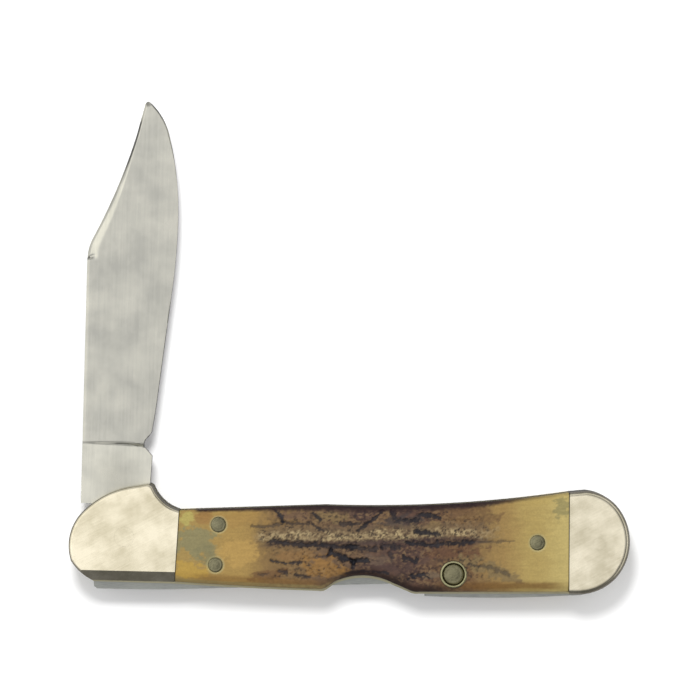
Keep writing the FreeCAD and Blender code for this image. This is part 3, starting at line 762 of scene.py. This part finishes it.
def make_cover(side, seed, material):
    form = bmesh.new()
    tint = form.verts.layers.float_color.new("stag_tint")
    bmesh.ops.create_grid(form, x_segments=420, y_segments=104, size=0.5)
    pins = [centre_of("cover_pin_front_upper"), centre_of("cover_pin_rear_upper"), centre_of("rocker_pin")]
    for vertex in form.verts:
        across = vertex.co.y + 0.5
        across = 0.35 * across + 0.65 * (0.5 - 0.5 * math.cos(math.pi * across))
        x, y = cover_point(vertex.co.x + 0.5, across)
        tone, lift, bark = stag(x, y, seed)
        level = cover_height(x, y)
        from_end = min(x - 8.3, 73.1 - x)
        lift *= smoothstep(0.0, 2.0, from_end)
        for px, py in pins:
            gap = math.hypot(x - px, y - py)
            halo = 1 - smoothstep(1.28, 1.62, gap)
            tone = blend_tone(tone, "A39C74", 0.6 * halo)
            level -= PIN_DIMPLE * (1 - smoothstep(1.15, 1.4, gap))
        # The cover is painted dark in the recess under the spring pin's head, which is painted shade, and in
        # a thin ring just outside the collar.
        gap = math.hypot(x - RING_CENTRE[0], y - RING_CENTRE[1])
        tone = blend_tone(tone, "3A3024", 0.6 * (1 - smoothstep(2.2, 2.45, gap)))
        # Painted shade: the cover's end rows at the bolster seams are darkened to stand in for the shadow in
        # the joint.
        on_shaded_seam = abs(vertex.co.x) > 0.4985
        tone = blend_tone(tone, "2C2A26", 0.9 * on_shaded_seam)
        if gap < RECESS_RADIUS:
            level, lift = 0.05, 0.0
        vertex.co = (x * MM, y * MM, (COVER_SEAT + max(0.02, level + lift)) * MM)
        vertex[tint] = (*[max(0.0, p) for p in tone], bark)
    rim = [e for e in form.edges if e.is_boundary]
    wall = bmesh.ops.extrude_edge_only(form, edges=rim)
    skirt = [g for g in wall["geom"] if isinstance(g, bmesh.types.BMVert)]
    for vertex in skirt:
        vertex.co.z = COVER_SEAT * MM
    bmesh.ops.holes_fill(form, edges=[e for e in form.edges if e.is_boundary])
    if side == "lower":
        flip = Matrix.Translation((0, 0, LIFT_OVER * MM)) @ Matrix.Scale(-1, 4, (0, 0, 1))
        bmesh.ops.transform(form, matrix=flip, verts=form.verts)
    bmesh.ops.recalc_face_normals(form, faces=form.faces)
    return new_piece("stag_cover_" + side, form, material)


antler, antler_shader = new_material("buffed_deer_antler")
antler_place = add_node(antler, "ShaderNodeTexCoord")
antler_tint = add_node(antler, "ShaderNodeAttribute", {"attribute_name": "stag_tint"})
antler_pores = add_node(
    antler, "ShaderNodeTexNoise", {"Scale": 1 / (0.28 * MM), "Detail": 5.0, "Roughness": 0.7},
    {"Vector": (antler_place, "Object")},
)
antler_speckle = add_node(
    antler, "ShaderNodeMapRange", {"From Min": 0.3, "From Max": 0.7, "To Min": 0.88, "To Max": 1.1},
    {"Value": (antler_pores, "Fac")},
)
antler_colour = add_node(
    antler, "ShaderNodeVectorMath", {"operation": "SCALE"},
    {0: (antler_tint, "Color"), "Scale": (antler_speckle, 0)},
)
antler_gloss = add_node(
    antler, "ShaderNodeMapRange", {"To Min": 0.36, "To Max": 0.7}, {"Value": (antler_tint, "Alpha")}
)
antler_relief = add_node(
    antler, "ShaderNodeBump", {"Strength": 0.25, "Distance": 0.03 * MM}, {"Height": (antler_pores, "Fac")}
)
feed(antler, antler_shader, "Base Color", antler_colour, 0)
feed(antler, antler_shader, "Roughness", antler_gloss, 0)
feed(antler, antler_shader, "Normal", antler_relief, 0)
antler_shader.inputs["IOR"].default_value = 1.54
antler_shader.inputs["Specular IOR Level"].default_value = 0.3

for side, seed in (("upper", 3.0), ("lower", 21.0)):
    cover = make_cover(side, seed, antler)
    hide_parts("scale_" + side)
    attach(cover, "handle")

# ---------------------------------------------------------------- rocker and spring pins
# The two pins that run right through. The lock bar rocks on one; the other holds the back
# spacer, and its heads are hammered down inside a collar let into each cover.
THROUGH_PINS = (("rocker_pin", 1.225, 0.75, COVER_FACE), ("spring_pin", 1.72, 0.6, 9.75))
for name, radius, shank, top in THROUGH_PINS:
    shape = [(0.0, 5.2)] + [(r, z) for r, z in head_profile(radius, shank, top, 5.2)[1:]]
    halves = []
    for side in ("upper", "lower"):
        halves.append(turned(name + "_" + side, shape, centre_of(name), side, pin_metal))
    for half in halves:
        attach(half, "handle")
    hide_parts(name)
for side in ("upper", "lower"):
    collar = turned(
        "collar_" + side,
        [(1.85, 7.06), (2.22, 7.06), (2.22, 10.2), (2.19, 10.26), (1.92, 10.28), (1.86, 10.24), (1.83, 10.1),
         (1.85, 7.06)],
        RING_CENTRE,
        side,
        ring_metal,
    )
    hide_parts("spring_pin_collar_" + side)
    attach(collar, "handle")

# ---------------------------------------------------------------- leaf spring
# A flat strip of spring steel let into the spacer; its free end presses the lock bar's
# tail. It is drawn with a small fixed sag.
LEAF_TIP = 42.9
LEAF_ROOT = 64.85
LEAF_THICK = 0.35
LEAF_SAG = 0.18
LEAF_BENDS_TO = 50.0
low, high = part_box("lock_spring")
leaf = bmesh.new()
bmesh.ops.create_cube(leaf, size=1.0)
for vertex in leaf.verts:
    at_tip = vertex.co.x < 0
    vertex.co.x = (LEAF_TIP if at_tip else LEAF_ROOT) * MM
    base = -5.53 if at_tip else -5.35
    vertex.co.y = (base + (LEAF_THICK if vertex.co.y > 0 else 0.0)) * MM
    vertex.co.z = low.z + (high.z - low.z) * (vertex.co.z + 0.5)
long_edges = [e for e in leaf.edges if abs(e.verts[0].co.x - e.verts[1].co.x) > 5 * MM]
bmesh.ops.subdivide_edges(leaf, edges=long_edges, cuts=24, use_grid_fill=True)
for vertex in leaf.verts:
    x = vertex.co.x / MM
    sag = smoothstep(LEAF_BENDS_TO, LEAF_TIP, x) if vertex.co.x < LEAF_BENDS_TO * MM else 0.0
    straight = -LEAF_SAG * (LEAF_ROOT - x) / (LEAF_ROOT - LEAF_TIP)
    vertex.co.y += (-LEAF_SAG * sag - straight) * MM
leaf_piece = new_piece("leaf_spring", leaf, back_steel)
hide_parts("lock_spring")
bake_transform(leaf_piece)
